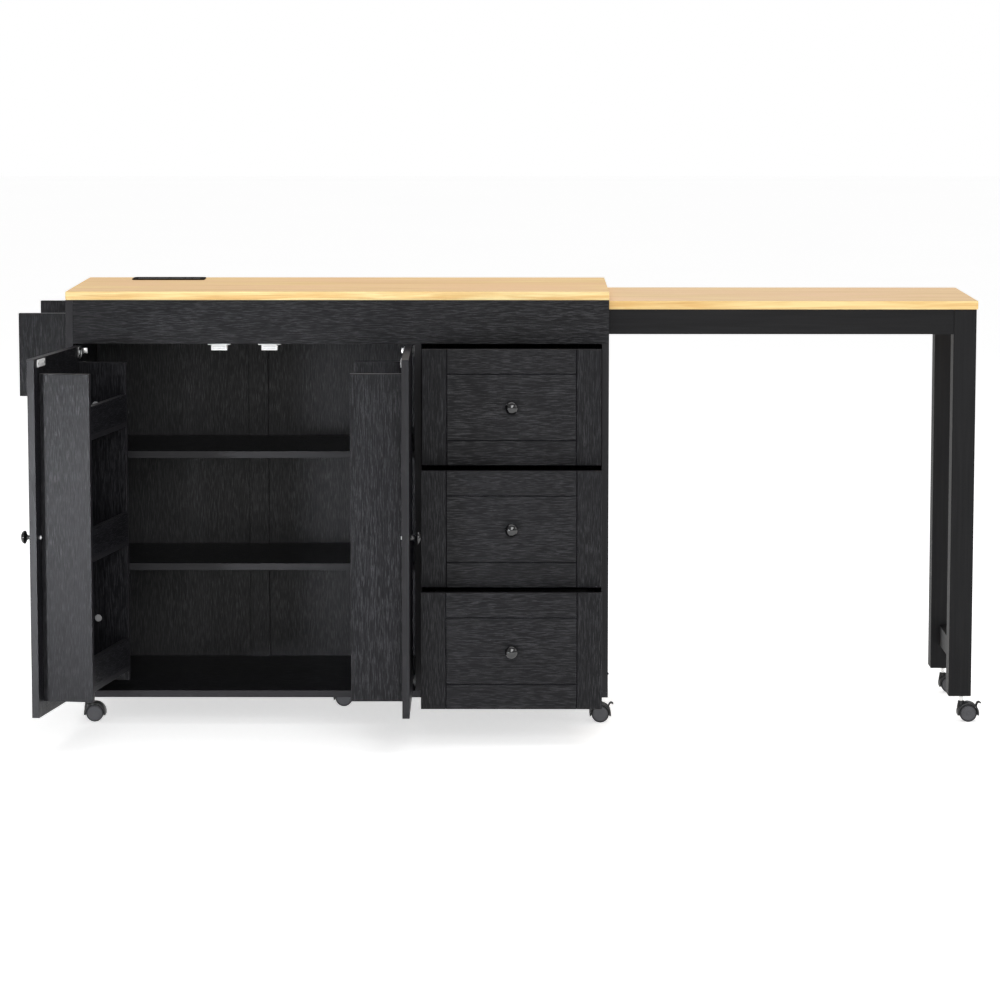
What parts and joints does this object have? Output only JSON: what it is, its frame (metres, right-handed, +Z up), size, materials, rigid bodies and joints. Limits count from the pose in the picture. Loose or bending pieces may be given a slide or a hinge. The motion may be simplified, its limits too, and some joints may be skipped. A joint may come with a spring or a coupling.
{
  "type": "kitchen island cart",
  "caption": "Rolling kitchen island with a wood worktop, rack-lined cupboard doors, drawers, a side rack, an outlet strip and a table that slides out of a bay under the worktop.",
  "frame": {"origin": "on the floor, under the middle of the box around the whole cart as it stands at rest", "axes": "+Z up, +X along the worktop towards the table, +Y from the front to the back"},
  "size_m": [2.0396, 0.8112, 0.923],
  "materials": {
    "natural_wood": "pale oak coloured wood grain, satin",
    "black_board": "black board with embossed wood grain, satin",
    "black_smooth": "black painted wood, smooth satin",
    "backing_board": "thin black backing board with fine grain film",
    "drawer_box_board": "black foil covered board",
    "knob_black": "gloss black",
    "outlet_plastic": "satin black moulded plastic",
    "white_plastic": "white moulded plastic",
    "hinge_steel": "nickel plated steel",
    "caster_plastic": "satin black moulded nylon",
    "wheel_plastic": "dark grey moulded nylon"
  },
  "bodies": {
    "cabinet": {"countertop": "natural_wood", "left_side_panel": "black_board", "right_side_panel": "black_board", "centre_divider": "black_board", "bottom_panel": "black_board", "front_fascia": "black_board", "table_bay_floor": "black_board", "back_panel": "backing_board", "back_joining_strip": "backing_board", "rear_top_rail": "black_board", "shelf_upper": "black_board", "shelf_lower": "black_board", "outlet_housing": "outlet_plastic", "catch_left": "white_plastic", "catch_right": "white_plastic", "side_rack_front_end": "black_board", "side_rack_rear_end": "black_board", "side_rack_tray": "black_board", "hinge_left_upper": "hinge_steel", "hinge_left_lower": "hinge_steel", "hinge_right_upper": "hinge_steel", "hinge_right_lower": "hinge_steel"},
    "door_left": {"door_left_panel": "black_board", "door_left_knob": "knob_black", "door_left_rack": "black_board"},
    "door_right": {"door_right_panel": "black_board", "door_right_knob": "knob_black", "door_right_rack": "black_board"},
    "drawer_top": {"drawer_top_front": "black_board", "drawer_top_knob": "knob_black", "drawer_top_box": "drawer_box_board"},
    "drawer_middle": {"drawer_middle_front": "black_board", "drawer_middle_knob": "knob_black", "drawer_middle_box": "drawer_box_board"},
    "drawer_bottom": {"drawer_bottom_front": "black_board", "drawer_bottom_knob": "knob_black", "drawer_bottom_box": "drawer_box_board"},
    "table": {"table_top": "natural_wood", "table_apron_front": "black_smooth", "table_apron_rear": "black_smooth", "table_leg_front": "black_smooth", "table_leg_rear": "black_smooth", "table_stretcher": "black_smooth"},
    "caster_front_left": {"caster_front_left_hood": "caster_plastic"},
    "wheels_front_left": {"caster_front_left_wheels": "wheel_plastic"},
    "caster_front_right": {"caster_front_right_hood": "caster_plastic"},
    "wheels_front_right": {"caster_front_right_wheels": "wheel_plastic"},
    "brake_front_right": {"caster_front_right_brake": "caster_plastic"},
    "caster_rear_left": {"caster_rear_left_hood": "caster_plastic"},
    "wheels_rear_left": {"caster_rear_left_wheels": "wheel_plastic"},
    "brake_rear_left": {"caster_rear_left_brake": "caster_plastic"},
    "caster_rear_right": {"caster_rear_right_hood": "caster_plastic"},
    "wheels_rear_right": {"caster_rear_right_wheels": "wheel_plastic"},
    "caster_centre": {"caster_centre_hood": "caster_plastic"},
    "wheels_centre": {"caster_centre_wheels": "wheel_plastic"},
    "caster_table_front": {"caster_table_front_hood": "caster_plastic"},
    "wheels_table_front": {"caster_table_front_wheels": "wheel_plastic"},
    "brake_table_front": {"caster_table_front_brake": "caster_plastic"},
    "caster_table_rear": {"caster_table_rear_hood": "caster_plastic"},
    "wheels_table_rear": {"caster_table_rear_wheels": "wheel_plastic"}
  },
  "joints": [
    {"name": "door_left_hinge", "type": "hinge", "parent": "cabinet", "child": "door_left", "pos_m": [-0.89776, -0.05444, 0.4415], "axis": [0, 0, -1], "range_deg": [-99.5, 10.5]},
    {"name": "door_right_hinge", "type": "hinge", "parent": "cabinet", "child": "door_right", "pos_m": [-0.19126, -0.05444, 0.4415], "axis": [0, 0, 1], "range_deg": [-90.5, 2.5]},
    {"name": "drawer_top_slide", "type": "slide", "parent": "cabinet", "child": "drawer_top", "axis": [0, -1, 0], "range_m": [-0.1, 0.2]},
    {"name": "drawer_middle_slide", "type": "slide", "parent": "cabinet", "child": "drawer_middle", "axis": [0, -1, 0], "range_m": [-0.18, 0.12]},
    {"name": "drawer_bottom_slide", "type": "slide", "parent": "cabinet", "child": "drawer_bottom", "axis": [0, -1, 0], "range_m": [-0.24, 0.06]},
    {"name": "table_slide", "type": "slide", "parent": "cabinet", "child": "table", "axis": [1, 0, 0], "range_m": [-0.72, 0]},
    {"name": "swivel_front_left", "type": "hinge", "parent": "cabinet", "child": "caster_front_left", "pos_m": [-0.88526, -0.01244, 0.048], "axis": [0, 0, 1], "continuous": true},
    {"name": "roll_front_left", "type": "hinge", "parent": "caster_front_left", "child": "wheels_front_left", "pos_m": [-0.87076, -0.01244, 0.0185], "axis": [0, 1, 0], "continuous": true},
    {"name": "swivel_front_right", "type": "hinge", "parent": "cabinet", "child": "caster_front_right", "pos_m": [0.19224, -0.01844, 0.048], "axis": [0, 0, 1], "continuous": true},
    {"name": "roll_front_right", "type": "hinge", "parent": "caster_front_right", "child": "wheels_front_right", "pos_m": [0.20674, -0.01844, 0.0185], "axis": [0, 1, 0], "continuous": true},
    {"name": "brake_front_right", "type": "hinge", "parent": "caster_front_right", "child": "brake_front_right", "pos_m": [0.22408, -0.01844, 0.03204], "axis": [0, 1, 0], "range_deg": [0, 20]},
    {"name": "swivel_rear_left", "type": "hinge", "parent": "cabinet", "child": "caster_rear_left", "pos_m": [-0.88526, 0.36356, 0.048], "axis": [0, 0, 1], "continuous": true},
    {"name": "roll_rear_left", "type": "hinge", "parent": "caster_rear_left", "child": "wheels_rear_left", "pos_m": [-0.87076, 0.36356, 0.0185], "axis": [0, 1, 0], "continuous": true},
    {"name": "brake_rear_left", "type": "hinge", "parent": "caster_rear_left", "child": "brake_rear_left", "pos_m": [-0.85342, 0.36356, 0.03204], "axis": [0, 1, 0], "range_deg": [0, 20]},
    {"name": "swivel_rear_right", "type": "hinge", "parent": "cabinet", "child": "caster_rear_right", "pos_m": [0.19224, 0.36956, 0.048], "axis": [0, 0, 1], "continuous": true},
    {"name": "roll_rear_right", "type": "hinge", "parent": "caster_rear_right", "child": "wheels_rear_right", "pos_m": [0.20674, 0.36956, 0.0185], "axis": [0, 1, 0], "continuous": true},
    {"name": "swivel_centre", "type": "hinge", "parent": "cabinet", "child": "caster_centre", "pos_m": [-0.36226, 0.17556, 0.048], "axis": [0, 0, 1], "continuous": true},
    {"name": "roll_centre", "type": "hinge", "parent": "caster_centre", "child": "wheels_centre", "pos_m": [-0.34776, 0.17556, 0.0185], "axis": [0, 1, 0], "continuous": true},
    {"name": "swivel_table_front", "type": "hinge", "parent": "table", "child": "caster_table_front", "pos_m": [0.97674, -0.00644, 0.0475], "axis": [0, 0, 1], "continuous": true},
    {"name": "roll_table_front", "type": "hinge", "parent": "caster_table_front", "child": "wheels_table_front", "pos_m": [0.99124, -0.00644, 0.0185], "axis": [0, 1, 0], "continuous": true},
    {"name": "brake_table_front", "type": "hinge", "parent": "caster_table_front", "child": "brake_table_front", "pos_m": [1.00858, -0.00644, 0.03204], "axis": [0, 1, 0], "range_deg": [0, 20]},
    {"name": "swivel_table_rear", "type": "hinge", "parent": "table", "child": "caster_table_rear", "pos_m": [0.97674, 0.35156, 0.0475], "axis": [0, 0, 1], "continuous": true},
    {"name": "roll_table_rear", "type": "hinge", "parent": "caster_table_rear", "child": "wheels_table_rear", "pos_m": [0.99124, 0.35156, 0.0185], "axis": [0, 1, 0], "continuous": true}
  ]
}
